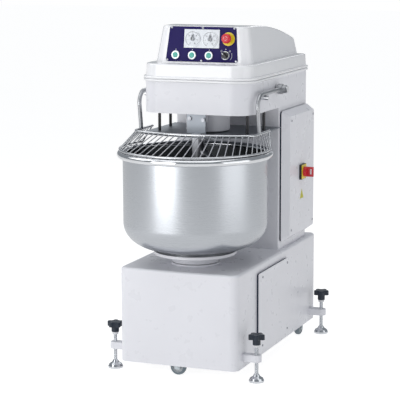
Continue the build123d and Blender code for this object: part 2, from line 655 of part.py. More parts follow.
# ---------------------------------------------------------------- belt drives
def pulley(radius, bore, low, y):
    """A flat belt pulley with a lip at each edge; a large one is dished to save weight."""
    high = low + PULLEY_HEIGHT
    lip = radius + 8
    wheel = turned([(bore, low), (lip, low), (lip, low + 4), (radius, low + 6), (radius, high - 6),
                    (lip, high - 4), (lip, high), (bore, high)], y=y)
    if radius > 100:
        for dish in ((low - 1, low + 16), (high - 16, high + 1)):
            wheel -= upright(radius - 14, dish, y=y) - upright(42, dish, y=y)
    return wheel


def belt(low, wheel_y, motor_y):
    """A flat belt round a large pulley and a motor pulley."""
    def loop(extra):
        wheel = Pos(0, wheel_y) * Circle(BIG_PULLEY_RADIUS + SLIDE_GAP + extra)
        small = Pos(0, motor_y) * Circle(MOTOR_PULLEY_RADIUS + SLIDE_GAP + extra)
        return make_hull(wheel.edges() + small.edges())
    height = PULLEY_HEIGHT - 16
    return Pos(0, 0, low + 8) * extrude(loop(BELT_THICKNESS) - loop(0), height)


def motor(radius, y, flange_z, body_z, shaft_z):
    """A finned motor with a mounting flange and a bore for its rotor shaft."""
    body = upright(radius, body_z, y=y) + upright(radius + 15, flange_z, y=y)
    for index in range(24):
        fin = Pos(radius + 2, 0, (body_z[0] + body_z[1]) / 2) * Box(10, 3, body_z[1] - body_z[0] - 30)
        body += Pos(0, y, 0) * Rot(0, 0, index * 15) * fin
    return body - upright(ROTOR_RADIUS + SHAFT_GAP, shaft_z, y=y)


def rotor(pulley_low, y, shaft_z):
    """A motor's shaft with its pulley."""
    return pulley(MOTOR_PULLEY_RADIUS, 0, pulley_low, y) + upright(ROTOR_RADIUS, shaft_z, y=y)


def bearing(low, y):
    """A ball bearing's envelope."""
    z = (low, low + BEARING_WIDTH)
    return upright(BEARING_RADIUS, z, y=y) - upright(SHAFT_RADIUS + SHAFT_GAP, z, y=y)


# ---------------------------------------------------------------- bowl
def bowl_wall():
    """The bowl's rolled wall with its bead."""
    inner = BOWL_RADIUS - BOWL_WALL
    bottom, top = BOWL_BOTTOM + KNUCKLE[1], BEAD_Z + 4
    wall = upright(BOWL_RADIUS, (bottom, top), y=BOWL_Y) - upright(inner, (bottom - 1, top + 1), y=BOWL_Y)
    return wall + Pos(0, BOWL_Y, BEAD_Z) * Torus(BEAD_CENTRE_RADIUS, BEAD_RADIUS)


def bowl_bottom():
    """The bowl's pressed bottom, flat with a boss below and a rounded edge up to the wall."""
    width, height = KNUCKLE
    flat = BOWL_RADIUS - width
    bend_z = BOWL_BOTTOM + height
    inner_bottom = BOWL_BOTTOM + BOWL_WALL
    section = [
        Line((0, FLANGE_DISC_Z[1]), (BOWL_BOSS_RADIUS, FLANGE_DISC_Z[1])),
        Line((BOWL_BOSS_RADIUS, FLANGE_DISC_Z[1]), (BOWL_BOSS_RADIUS, BOWL_BOTTOM)),
        Line((BOWL_BOSS_RADIUS, BOWL_BOTTOM), (flat, BOWL_BOTTOM)),
        EllipticalCenterArc((flat, bend_z), width, height, start_angle=270, arc_size=90),
        Line((BOWL_RADIUS, bend_z), (BOWL_RADIUS - BOWL_WALL, bend_z)),
        EllipticalCenterArc((flat, bend_z), width - BOWL_WALL, height - BOWL_WALL,
                            start_angle=270, arc_size=90),
        Line((flat, inner_bottom), (0, inner_bottom)),
        Line((0, inner_bottom), (0, FLANGE_DISC_Z[1])),
    ]
    pan = Pos(0, BOWL_Y, 0) * revolve(Plane.XZ * make_face(section), Axis.Z)
    for place in bowl_bolt_places():
        pan -= upright(BOLT_RADIUS, (FLANGE_DISC_Z[1] - 1, BOWL_BOLT_TOP), *place)
    return pan


def bowl_bolt_places():
    """The bolt centres that hold the bowl to its flange."""
    step = 2 * math.pi / BOWL_BOLT_COUNT
    angles = [step * (index + 0.5) for index in range(BOWL_BOLT_COUNT)]
    return [(BOWL_BOLT_CIRCLE * math.cos(a), BOWL_Y + BOWL_BOLT_CIRCLE * math.sin(a)) for a in angles]


def bowl_flange():
    """The disc under the bowl."""
    disc = upright(FLANGE_DISC_RADIUS, FLANGE_DISC_Z, y=BOWL_Y)
    through = (FLANGE_DISC_Z[0] - 1, FLANGE_DISC_Z[1] + 1)
    for place in bowl_bolt_places():
        disc -= upright(BOLT_RADIUS, through, *place)
    return disc - upright(HUB_SPIGOT_RADIUS, through, y=BOWL_Y)


def bowl_flange_bolts():
    """Hexagon bolts up through the flange into the bowl's boss."""
    bolts = []
    for x, y in bowl_bolt_places():
        head = Pos(x, y, FLANGE_DISC_Z[0] - 7) * extrude(RegularPolygon(8.5, 6), 7)
        bolts.append(head + upright(BOLT_RADIUS, (FLANGE_DISC_Z[0], BOWL_BOLT_TOP), x, y))
    return group(*bolts)


def bowl_shaft():
    """The bowl's drive shaft with its hub ring."""
    shaft = upright(SHAFT_RADIUS, (BOWL_PULLEY_Z - 6, HUB_Z[0]), y=BOWL_Y)
    return shaft + upright(HUB_RADIUS, HUB_Z, y=BOWL_Y) + upright(HUB_SPIGOT_RADIUS, FLANGE_DISC_Z, y=BOWL_Y)


def bowl_bearing_housing():
    """The bearing barrel through the base's top, with the fixed collar that stands on it."""
    inner_top = BASE_Z[1] - SHEET
    housing = upright(BOWL_BARREL_RADIUS, (BOWL_BARREL_BOTTOM, BASE_Z[1]), y=BOWL_Y)
    housing += upright(BOWL_COLLAR_RADIUS, (BASE_Z[1], BOWL_COLLAR_TOP), y=BOWL_Y)
    housing += upright(BOWL_COLLAR_RADIUS, (inner_top - 10, inner_top), y=BOWL_Y)
    return housing - upright(BEARING_RADIUS, (BOWL_BARREL_BOTTOM - 1, BOWL_COLLAR_TOP + 1), y=BOWL_Y)


# ---------------------------------------------------------------- spiral and breaker bar
def spiral_housing():
    """The bearing housing of the spiral, which hangs below the head."""
    bottom, top = SPIRAL_HOUSING_Z
    housing = upright(SPIRAL_HOUSING_RADIUS, (bottom, HEAD_Z[0]), y=SPIRAL_Y)
    housing = fillet(housing.faces().sort_by(Axis.Z)[0].edges(), 8)
    housing += upright(SPIRAL_BARREL_RADIUS, (HEAD_Z[0], top), y=SPIRAL_Y)
    housing -= upright(BEARING_RADIUS, (bottom + 10, top + 1), y=SPIRAL_Y)
    return housing - upright(SHAFT_RADIUS + 2, (bottom - 1, bottom + 11), y=SPIRAL_Y)


def spiral_radius(share):
    """How far the bar's centre line stands from the axis at a share of the way down."""
    swing = math.sin(min(1.0, share / SPIRAL_SWING_SHARE) * math.pi / 2)
    curl = max(0.0, (share - SPIRAL_CURL_SHARE) / (1 - SPIRAL_CURL_SHARE)) ** 1.3
    out = SPIRAL_START_RADIUS + (SPIRAL_SWEEP - SPIRAL_START_RADIUS) * swing
    return out - (SPIRAL_SWEEP - SPIRAL_END_RADIUS) * curl


def spiral_hook():
    """The spiral: a thick bar that leaves a collar on the shaft, swings out and winds downwards."""
    low, high = SPIRAL_Z
    points = []
    for step in range(SPIRAL_STEPS + 1):
        share = step / SPIRAL_STEPS
        radius = spiral_radius(share)
        angle = math.radians(SPIRAL_REST_ANGLE - 360 * SPIRAL_TURNS * (1 - share))
        height = high - (high - low) * share
        points.append((radius * math.cos(angle), SPIRAL_Y + radius * math.sin(angle), height))
    bar = tube_along(Spline(*points), SPIRAL_BAR_RADIUS)
    bar += Pos(*points[-1]) * Sphere(SPIRAL_BAR_RADIUS)
    bar += upright(SPIRAL_COLLAR_RADIUS, (high - 6, high + 14), y=SPIRAL_Y)
    neck_top = SPIRAL_HOUSING_Z[0] - 3
    shaft_top = SPIRAL_PULLEY_Z + PULLEY_HEIGHT + 5
    bar += upright(SPIRAL_NECK_RADIUS, (high + 14, neck_top), y=SPIRAL_Y)
    return bar + upright(SHAFT_RADIUS, (neck_top, shaft_top), y=SPIRAL_Y)


def breaker_bar():
    """The fixed bar that divides the dough, tapered towards the bottom of the bowl."""
    low = Pos(0, BREAKER_Y, BREAKER_BOTTOM) * RectangleRounded(24, 20, 6)
    high = Pos(0, BREAKER_Y, BRACKET_Z[0]) * RectangleRounded(38, 24, 6)
    return loft([low, high])


def breaker_bracket():
    """The plate that carries the breaker bar below the head."""
    plate = block((-BRACKET_HALF_WIDTH, BRACKET_HALF_WIDTH), BRACKET_Y, BRACKET_Z)
    for x, z in BREAKER_BOLT_PLACES:
        plate -= rod_between((x, BRACKET_Y[0] - 1, z), (x, BRACKET_Y[1] + 1, z), BOLT_RADIUS)
    return plate


def breaker_bolts():
    """The two bolts through the bracket into the head's lug."""
    bolts = []
    for x, z in BREAKER_BOLT_PLACES:
        head = Plane(origin=(x, BRACKET_Y[0], z), z_dir=(0, -1, 0)) * extrude(RegularPolygon(9, 6), 7)
        shank = rod_between((x, BRACKET_Y[0], z), (x, BRACKET_Y[1] + 16, z), BOLT_RADIUS)
        bolts.append(head + shank)
    return group(*bolts)


def front_arc(side_x, side_y, front_y):
    """The three points of a shallow arc that bulges forward."""
    return (-side_x, side_y), (0, front_y), (side_x, side_y)


def cover_plate():
    """The fixed stainless plate over the rear of the bowl."""
    left, tip, right = front_arc(COVER_PLATE_SIDE, GUARD_FRONT_Y + 78, GUARD_FRONT_Y + 22)
    rear = COLUMN_Y[0] - 2
    outline = [
        ThreePointArc(left, tip, right),
        Line(right, (COVER_PLATE_SIDE, rear)),
        Line((COVER_PLATE_SIDE, rear), (-COVER_PLATE_SIDE, rear)),
        Line((-COVER_PLATE_SIDE, rear), left),
    ]
    face = make_face(outline)
    face = fillet(face.vertices().sort_by(Axis.Y)[:2], COVER_PLATE_CORNER)
    plate = Pos(0, 0, COVER_PLATE_Z[0]) * extrude(face, COVER_PLATE_Z[1] - COVER_PLATE_Z[0])
    cut = (COVER_PLATE_Z[0] - 1, COVER_PLATE_Z[1] + 1)
    plate -= upright(40, cut, y=SPIRAL_Y)
    return plate - block((-24, 24), (BREAKER_Y - 17, BREAKER_Y + 17), cut)


def cover_plate_posts():
    """The four posts that hang the cover plate from the head."""
    posts = []
    for x, y in POST_PLACES:
        posts += both_sides(upright(POST_RADIUS, (COVER_PLATE_Z[1], HEAD_Z[0]), x, y))
    return group(*posts)


# ---------------------------------------------------------------- bowl guard
def guard_frame_path():
    """The inner frame of the guard: two side bars joined by a shallow front arc."""
    left, tip, right = front_arc(GUARD_SIDE_X, -287, GUARD_FRONT_Y)
    rear_left, rear_right = (-GUARD_SIDE_X, GUARD_SIDE_REAR_Y), (GUARD_SIDE_X, GUARD_SIDE_REAR_Y)
    path = Wire([Line(rear_left, left), ThreePointArc(left, tip, right), Line(right, rear_right)])
    corners = [v for v in path.vertices() if abs(v.Y - left[1]) < 1]
    return Pos(0, 0, GUARD_FRAME_Z) * path.fillet_2d(50, corners)


def ring_point(angle):
    """A point on the guard's outer ring, by its angle from straight ahead."""
    turn = math.radians(angle - 90)
    return (GUARD_RING_RADIUS * math.cos(turn), BOWL_Y + GUARD_RING_RADIUS * math.sin(turn), GUARD_RING_Z)


def guard_grid():
    """The wire grid of the guard: inner frame, outer ring and the fan of wires between them."""
    frame_path = guard_frame_path()
    grid = tube_along(frame_path, GUARD_FRAME_RADIUS)
    span = GUARD_RING_HALF_SPAN
    ring_path = ThreePointArc(ring_point(-span), ring_point(0), ring_point(span))
    grid += tube_along(ring_path, GUARD_RING_WIRE)
    for index in range(GUARD_WIRE_COUNT):
        share = index / (GUARD_WIRE_COUNT - 1)
        inset_share = 0.004 + 0.992 * share
        top = frame_path @ inset_share
        foot = Vector(*ring_point(span * (2 * inset_share - 1)))
        radius = GUARD_FRAME_RADIUS - 1.5 if index in (0, GUARD_WIRE_COUNT - 1) else GUARD_WIRE_RADIUS
        grid += rod_between(tuple(top), tuple(foot), radius)
    return grid


def guard_arms(grid):
    """The two bent tubes that carry the grid, with their hinge barrels."""
    path = FilletPolyline((ARM_X, PIVOT_Y - 12, PIVOT_Z), (ARM_X, ARM_FRONT_Y, PIVOT_Z),
                          (ARM_X, ARM_FOOT_Y, GUARD_FRAME_Z), radius=ARM_BEND)
    arm = tube_along(path, ARM_RADIUS)
    for radius, x in zip(BARREL_RADII, ((258, 302), (264, 284))):
        arm += crosswise(radius, x, PIVOT_Y, PIVOT_Z)
    arm -= crosswise(PIVOT_PIN_RADIUS + SHAFT_GAP, (250, 310), PIVOT_Y, PIVOT_Z)
    return group(*[side - grid for side in both_sides(arm)])


def guard_pins():
    """The hinge pins in the head's sides, and the stop pins that the guard's arms rest on."""
    hinge = crosswise(PIVOT_PIN_RADIUS, (229, 304), PIVOT_Y, PIVOT_Z)
    hinge += crosswise(14, (303, 308), PIVOT_Y, PIVOT_Z)
    stop = crosswise(STOP_PIN_RADIUS, (HEAD_HALF_WIDTH - SHEET, 290), STOP_PIN_Y, STOP_PIN_Z)
    stop = chamfer(stop.edges().filter_by(GeomType.CIRCLE).sort_by(Axis.X)[-1], 2)
    return group(*both_sides(hinge), *both_sides(stop))


# ---------------------------------------------------------------- jacks and casters
def jack_brackets():
    """The four welded lugs that carry the jacks."""
    lugs = []
    for y in JACK_YS.values():
        lug = block((BASE_HALF_WIDTH, JACK_X), around(y, LUG_RADIUS), LUG_Z)
        lug += upright(LUG_RADIUS, LUG_Z, JACK_X, y)
        lug = fillet(lug.faces().sort_by(Axis.Z)[-1].edges().filter_by(
            lambda e: e.center().X > BASE_HALF_WIDTH + 1), 3)
        lugs += both_sides(lug - upright(STUD_RADIUS + SLIDE_GAP, (LUG_Z[0] - 1, LUG_Z[1] + 1), JACK_X, y))
    return group(*lugs)


def star_knob(x, y):
    """A lobed knob on a narrow neck, with one lobe pointing away from the machine."""
    plan = Circle(KNOB_BODY_RADIUS)
    outward = 0 if x > 0 else 180
    for index in range(KNOB_LOBES):
        turn = outward + 360 / KNOB_LOBES * index
        plan += Rot(0, 0, turn) * Pos(KNOB_BODY_RADIUS - 1, 0) * Circle(KNOB_LOBE_RADIUS)
    plan = fillet(plan.vertices(), 5)
    crown = Pos(x, y, KNOB_Z[0]) * extrude(plan, KNOB_Z[1] - KNOB_Z[0])
    crown = fillet(crown.faces().sort_by(Axis.Z)[-1].edges(), 4)
    return crown + upright(KNOB_NECK_RADIUS, (COLLAR_Z[1], KNOB_Z[0]), x, y)


def jack(x, y):
    """A levelling jack: domed foot and stud, pale collar and star knob."""
    stud_top = KNOB_Z[0] + 4
    foot = turned([(0, 0), (PAD_RADIUS, 0), (PAD_RADIUS, 8), (PAD_RADIUS - 5, 17), (16, 25), (11, 34),
                   (STUD_RADIUS, 36), (STUD_RADIUS, stud_top), (0, stud_top)], x, y)
    return foot + upright(COLLAR_RADIUS, COLLAR_Z, x, y) + star_knob(x, y)


def caster_wheel():
    """A tyred wheel that stands on the origin, with its axle bore along X."""
    half = WHEEL_WIDTH / 2
    wheel = crosswise(WHEEL_RADIUS, (-half, half), 0, WHEEL_RADIUS)
    wheel = fillet(wheel.edges().filter_by(GeomType.CIRCLE), 4)
    return wheel - crosswise(AXLE_RADIUS + SHAFT_GAP, (-half - 1, half + 1), 0, WHEEL_RADIUS)


def caster_frame(trail):
    """A forked frame with its axle, for a wheel at a distance behind the middle of its crown."""
    gap = WHEEL_WIDTH / 2 + 3
    outer = gap + CHEEK_THICKNESS
    frame = block((-outer, outer), (-20, trail + 20), (FORK_TOP - 4, FORK_TOP))
    for side in (-1, 1):
        cheek_x = sorted((side * gap, side * outer))
        frame += block(cheek_x, around(trail, 12), (WHEEL_RADIUS - 9, FORK_TOP - 4))
    return frame + crosswise(AXLE_RADIUS, (-outer - 2, outer + 2), trail, WHEEL_RADIUS)


SIDEWAYS = Pos(0, FRONT_CASTER_Y, 0) * Rot(0, 0, 90)      # the front caster rests turned to one side


def front_caster_fork():
    """The fork that swivels under its plate, on a raised bearing race."""
    race = upright(16, (FORK_TOP, FORK_TOP + 3.5)) + upright(AXLE_RADIUS, (FORK_TOP, FRONT_MEMBER_BOTTOM - 1))
    return SIDEWAYS * (caster_frame(CASTER_TRAIL) + race)


def caster_mounts():
    """The front caster's fixed plate and the two fixed frames of the rear wheels."""
    plate_z = (FRONT_MEMBER_BOTTOM - 4, FRONT_MEMBER_BOTTOM)
    plate_x = (-CASTER_PLATE_HALF, CASTER_PLATE_HALF)
    plate = block(plate_x, around(FRONT_CASTER_Y, CASTER_PLATE_HALF), plate_z)
    plate -= upright(AXLE_RADIUS + SHAFT_GAP, (plate_z[0] - 1, plate_z[1] + 1), y=FRONT_CASTER_Y)
    return group(plate, *both_sides(Pos(REAR_CASTER_X, REAR_CASTER_Y, 0) * caster_frame(0)))


# ---------------------------------------------------------------- all nodes
def main():
    os.makedirs("parts", exist_ok=True)
    save("base_frame", base_frame())
    save("base_cross_members", base_cross_members())
    save("column_frame", column_frame())
    save("head_frame", head_frame())
    save("head_cover", head_cover())
    save("control_panel", control_panel())
    save("timer_plate", timer_plate())
    save("operator_bezels", group(*[operator_bezel(p) for p in [*BUTTON_PLACES.values(), SELECTOR_PLACE]]))
    save("estop_collar", estop_collar())
    save("estop_stem", estop_stem())
    save("estop_head", estop_head())
    for side, place in BUTTON_PLACES.items():
        save(f"start_button_{side}", start_button(place))
    for side, place in TIMER_PLACES.items():
        save(f"timer_knob_{side}", timer_knob(place))
    save("selector_knob", selector_knob())
    save("cabinet_cover", cabinet_cover())
    save("base_side_plate", base_side_plate())
    save("panel_gaskets", panel_gaskets())
    save("cover_screws", cover_screws())
    save("isolator_base", isolator_base())
    save("isolator_plate", isolator_plate())
    save("isolator_handle", isolator_handle())
    save("electrics_panel", electrics_panel())

    save("bowl_wall", bowl_wall())
    save("bowl_bottom", bowl_bottom())
    save("bowl_flange", bowl_flange())
    save("bowl_flange_bolts", bowl_flange_bolts())
    save("bowl_shaft", bowl_shaft())
    save("bowl_pulley", pulley(BIG_PULLEY_RADIUS, SHAFT_RADIUS, BOWL_PULLEY_Z, BOWL_Y))
    save("bowl_bearing_housing", bowl_bearing_housing())
    save("bowl_belt", belt(BOWL_PULLEY_Z, BOWL_Y, BOWL_MOTOR_Y))
    save("bowl_motor", motor(80, BOWL_MOTOR_Y, (315, 327), (327, 455), (314, 360)))
    save("bowl_motor_rotor", rotor(BOWL_PULLEY_Z, BOWL_MOTOR_Y, (BOWL_PULLEY_Z, 358)))
    places = [(z, BOWL_Y) for z in BOWL_BEARINGS_Z] + [(z, SPIRAL_Y) for z in SPIRAL_BEARINGS_Z]
    save("shaft_bearings", group(*[bearing(*place) for place in places]))

    save("spiral_housing", spiral_housing())
    save("spiral_hook", spiral_hook())
    save("spiral_pulley", pulley(BIG_PULLEY_RADIUS, SHAFT_RADIUS, SPIRAL_PULLEY_Z, SPIRAL_Y))
    save("spiral_belt", belt(SPIRAL_PULLEY_Z, SPIRAL_Y, SPIRAL_MOTOR_Y))
    save("spiral_motor", motor(100, SPIRAL_MOTOR_Y, (1107, 1119), (850, 1107), (1070, 1120)))
    save("spiral_motor_rotor", rotor(SPIRAL_PULLEY_Z, SPIRAL_MOTOR_Y, (1072, SPIRAL_PULLEY_Z + 10)))
    save("breaker_bar", breaker_bar())
    save("breaker_bracket", breaker_bracket())
    save("breaker_bolts", breaker_bolts())
    save("cover_plate", cover_plate())
    save("cover_plate_posts", cover_plate_posts())

    grid = guard_grid()
    save("guard_grid", grid)
    save("guard_arms", guard_arms(grid))
    save("guard_pins", guard_pins())

    save("jack_brackets", jack_brackets())
    for place, y in JACK_YS.items():
        save(f"{place}_left_jack", jack(-JACK_X, y))
        save(f"{place}_right_jack", jack(JACK_X, y))
    save("caster_mounts", caster_mounts())
    save("front_caster_fork", front_caster_fork())
    save("front_caster_wheel", SIDEWAYS * Pos(0, CASTER_TRAIL, 0) * caster_wheel())
    for side, x in (("left", -REAR_CASTER_X), ("right", REAR_CASTER_X)):
        save(f"rear_wheel_{side}", Pos(x, REAR_CASTER_Y, 0) * caster_wheel())


main()
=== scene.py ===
import json
import math

import bmesh
import bpy
from mathutils import Euler, Matrix, Vector

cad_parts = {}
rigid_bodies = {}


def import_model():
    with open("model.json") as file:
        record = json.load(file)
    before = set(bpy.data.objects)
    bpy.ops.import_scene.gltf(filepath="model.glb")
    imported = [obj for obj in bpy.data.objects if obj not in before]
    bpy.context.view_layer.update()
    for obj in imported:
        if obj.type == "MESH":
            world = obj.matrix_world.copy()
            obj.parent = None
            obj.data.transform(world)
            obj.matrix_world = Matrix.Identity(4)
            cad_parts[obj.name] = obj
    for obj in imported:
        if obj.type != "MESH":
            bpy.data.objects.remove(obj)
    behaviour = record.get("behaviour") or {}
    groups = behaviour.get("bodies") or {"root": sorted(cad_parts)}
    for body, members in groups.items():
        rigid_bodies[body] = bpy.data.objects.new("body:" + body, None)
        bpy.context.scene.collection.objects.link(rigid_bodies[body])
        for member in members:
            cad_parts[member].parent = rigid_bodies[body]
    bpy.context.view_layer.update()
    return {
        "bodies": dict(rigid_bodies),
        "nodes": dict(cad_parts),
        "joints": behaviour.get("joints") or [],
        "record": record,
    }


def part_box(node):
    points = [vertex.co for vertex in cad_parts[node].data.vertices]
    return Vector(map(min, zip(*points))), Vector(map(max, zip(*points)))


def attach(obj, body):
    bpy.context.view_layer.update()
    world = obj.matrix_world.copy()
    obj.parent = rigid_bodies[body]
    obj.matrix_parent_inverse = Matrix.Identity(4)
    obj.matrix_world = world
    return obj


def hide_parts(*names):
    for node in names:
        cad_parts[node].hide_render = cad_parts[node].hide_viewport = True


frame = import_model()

# Looks for the spiral dough mixer: materials, detailed pieces, light and camera.
# Metres, +Z up, front towards -Y.
NODES = frame["nodes"]
JOINTS = {joint["name"]: joint for joint in frame["joints"]}

# ---------------------------------------------------------------- camera, light and floor
CAMERA_PLACE = (2.5935, -6.7622, 1.9123)
CAMERA_TILT = math.radians(90 - 9.469)
CAMERA_TURN = math.radians(21.588)
CAMERA_ROLL = math.radians(-0.166)
CAMERA_LENS = 147.43

SKY_COLOUR = (0.52, 0.56, 0.60)
SKY_STRENGTH = 0.5
BACKDROP_WHITE = (1.0, 1.0, 1.0)
FLOOR_GLOW = 0.62                       # what the floor gives out to the machine and its reflections
FLOOR_SHOWN = 0.88                      # what it gives out to the camera

LAMP_TARGET = (0.0, 0.0, 0.75)
LAMPS = (                               # name, azimuth, elevation, distance, size, power
    ("key", -23, 8, 4.2, (2.5, 3.0), 66),
    ("side", 80, 10, 4.0, (3.2, 3.0), 27),
    ("top", 10, 78, 3.6, (4.0, 4.0), 55),
    ("rear", 195, 35, 4.5, (3.0, 2.0), 30),
    ("left", -75, 40, 4.0, (2.4, 2.4), 30))

# ---------------------------------------------------------------- sizes of the detailed pieces
KNUCKLE_WIDTH = 0.150                   # the bowl's rounded bottom edge
KNUCKLE_HEIGHT = 0.115
BOSS_RADIUS = 0.142
BOWL_THICKNESS = 0.003
BOWL_STEPS = 192
BEAD_RADIUS = 0.015
WHEEL_STEPS = 72
AXLE_BORE = 0.00505
PANEL_THICKNESS = 0.002
DIAL_HEIGHT = 0.007                     # the dials' face above the hood
DIAL_MARKS = 31
MARK_HEIGHT = 0.0003                    # how far printed marks stand off their face
KNOB_HEIGHT = 0.018                     # the timers' knobs above the hood
GRIP_HEIGHT = 0.026
TRIANGLE_PLACE = (0.331, 0.700)         # along Y and Z
MIDDLE = (0.3, 0.7)                     # the range that most of a noise's values fall in


# ---------------------------------------------------------------- node helpers
def add(tree, kind, inputs=None, **settings):
    """A shader node, with its inputs set to values or linked to sockets."""
    node = tree.nodes.new("ShaderNode" + kind)
    for name, value in settings.items():
        setattr(node, name, value)
    for name, value in (inputs or {}).items():
        if isinstance(value, bpy.types.NodeSocket):
            tree.links.new(value, node.inputs[name])
        else:
            node.inputs[name].default_value = value
    return node


def math_node(tree, operation, a, b=0.0):
    """One arithmetic step."""
    return add(tree, "Math", {0: a, 1: b}, operation=operation).outputs[0]


def place_of(tree):
    """The point's place on its own object, in metres."""
    return add(tree, "TexCoord").outputs["Object"]


def stretched(tree, vector, scale):
    """A place with each axis multiplied, so that noise on it makes streaks."""
    return add(tree, "VectorMath", {0: vector, 1: scale}, operation="MULTIPLY").outputs[0]


def around(tree, axis_y, scale):
    """A place as (angle, radius, height) about a vertical axis, each multiplied. The seam faces the rear."""
    split = add(tree, "SeparateXYZ", {0: place_of(tree)})
    x = split.outputs[0]
    forward = math_node(tree, "SUBTRACT", axis_y, split.outputs[1])
    angle = math_node(tree, "ARCTAN2", x, forward)
    squares = math_node(tree, "ADD", math_node(tree, "POWER", x, 2.0), math_node(tree, "POWER", forward, 2.0))
    radius = math_node(tree, "SQRT", squares)
    polar = add(tree, "CombineXYZ", {0: angle, 1: radius, 2: split.outputs[2]}).outputs[0]
    return stretched(tree, polar, scale)


def noise(tree, vector, scale, detail=3.0):
    """Fractal noise from 0 to 1."""
    return add(tree, "TexNoise", {"Vector": vector, "Scale": scale, "Detail": detail}).outputs["Fac"]


def remap(tree, value, source, target):
    """A value carried from one range to another and kept inside it."""
    inputs = {"Value": value, "From Min": source[0], "From Max": source[1], "To Min": target[0],
              "To Max": target[1]}
    return add(tree, "MapRange", inputs).outputs["Result"]


def blend_colours(tree, factor, first, second):
    """A mix of two colours, each a socket or a tuple."""
    node = add(tree, "Mix", data_type="RGBA")
    for name, value in (("Factor", factor), ("A", first), ("B", second)):
        if isinstance(value, bpy.types.NodeSocket):
            tree.links.new(value, node.inputs[name])
        else:
            node.inputs[name].default_value = value
    return node.outputs["Result"]


def rgba(colour, factor=1.0):
    """A colour with its brightness multiplied, and an alpha of one."""
    return (*(min(1.0, part * factor) for part in colour), 1.0)


def bump(tree, height, distance):
    """A normal from a height pattern, in metres."""
    return add(tree, "Bump", {"Height": height, "Distance": distance}).outputs["Normal"]


def new_material(name):
    """An empty material, its tree and its Principled shader."""
    material = bpy.data.materials.new(name)
    material.use_nodes = True
    tree = material.node_tree
    shader = next(node for node in tree.nodes if node.type == "BSDF_PRINCIPLED")
    return material, tree, shader


def finish_shader(tree, shader, inputs):
    """Set or link the shader's inputs."""
    for name, value in inputs.items():
        if isinstance(value, bpy.types.NodeSocket):
            tree.links.new(value, shader.inputs[name])
        else:
            shader.inputs[name].default_value = value


# ---------------------------------------------------------------- material recipes
def coated(name, colour, roughness, grain, coat=0.0, patches=0.03, scuffs=0.25, gloss=0.5):
    """Paint or moulded plastic: orange peel, faint patches, and scuffs on an object's lowest part."""
    material, tree, shader = new_material(name)
    place = place_of(tree)
    cloud = noise(tree, place, 5.0)
    body = blend_colours(tree, cloud, rgba(colour, 1 - patches), rgba(colour, 1 + patches))
    height = add(tree, "SeparateXYZ", {0: place}).outputs[2]
    low_down = remap(tree, height, (0.02, 0.16), (1.0, 0.0))
    streaks = remap(tree, noise(tree, place, 38.0, 6.0), (0.60, 0.74), (0.0, scuffs))
    dirt = math_node(tree, "MULTIPLY", low_down, streaks)
    body = blend_colours(tree, dirt, body, rgba(colour, 0.45))
    rough_cloud = noise(tree, place, 22.0)
    peel = bump(tree, noise(tree, place, grain, 2.0), 0.000012)
    finish_shader(tree, shader, {
        "Base Color": body,
        "Roughness": remap(tree, rough_cloud, MIDDLE, (roughness * 0.8, roughness * 1.2)),
        "Coat Weight": coat, "Coat Roughness": 0.08, "Specular IOR Level": gloss, "Normal": peel})
    return material


def brushed(name, colour, roughness, streak_scale, anisotropy=0.0, axis_y=None, depth=0.00002,
            contrast=0.09):
    """Brushed steel: fine streaks in colour, roughness and height, along X or round a vertical axis."""
    material, tree, shader = new_material(name)
    if axis_y is None:
        place = stretched(tree, place_of(tree), streak_scale)
    else:
        place = around(tree, axis_y, streak_scale)
    fine = noise(tree, place, 1.0, 4.0)
    cloud = noise(tree, place_of(tree), 6.0)
    fine_share = math_node(tree, "MULTIPLY", fine, 0.6)
    cloud_share = math_node(tree, "MULTIPLY", cloud, 0.4)
    tone = math_node(tree, "ADD", fine_share, cloud_share)
    body = blend_colours(tree, remap(tree, tone, MIDDLE, (0.0, 1.0)), rgba(colour, 1 - contrast),
                         rgba(colour, 1 + contrast))
    spread = 2 * contrast
    finish_shader(tree, shader, {
        "Base Color": body, "Metallic": 1.0,
        "Roughness": remap(tree, tone, MIDDLE, (roughness * (1 - spread), roughness * (1 + spread))),
        "Normal": bump(tree, fine, depth)})
    if anisotropy:
        shader.inputs["Anisotropic"].default_value = anisotropy
        tangent = add(tree, "Tangent", direction_type="RADIAL", axis="Z").outputs[0]
        tree.links.new(tangent, shader.inputs["Tangent"])
    return material


def polished(name, colour, roughness):
    """Chrome or polished steel with faint smears and hairlines."""
    material, tree, shader = new_material(name)
    place = place_of(tree)
    smear = noise(tree, place, 30.0, 5.0)
    hairlines = noise(tree, stretched(tree, place, (300.0, 300.0, 2000.0)), 1.0)
    body = blend_colours(tree, smear, rgba(colour, 0.88), rgba(colour, 1.06))
    finish_shader(tree, shader, {
        "Base Color": body, "Metallic": 1.0,
        "Roughness": remap(tree, smear, MIDDLE, (roughness * 0.6, roughness * 1.5)),
        "Normal": bump(tree, hairlines, 0.000006)})
    return material


def moulded(name, colour, roughness, grain=900.0, depth=0.00005, wear=0.15, translucency=0.0):
    """Moulded plastic or rubber: fine grain, slight fading and paler rubbed patches."""
    material, tree, shader = new_material(name)
    place = place_of(tree)
    rubbed = remap(tree, noise(tree, place, 60.0, 5.0), (0.55, 0.75), (0.0, wear))
    faded = tuple(0.6 * part + 0.16 for part in colour)
    body = blend_colours(tree, rubbed, rgba(colour), rgba(faded))
    finish_shader(tree, shader, {
        "Base Color": body,
        "Roughness": remap(tree, noise(tree, place, 90.0), MIDDLE, (roughness * 0.85, roughness * 1.15)),
        "Subsurface Weight": translucency, "Subsurface Scale": 0.004,
        "Normal": bump(tree, noise(tree, place, grain, 2.0), depth)})
    return material


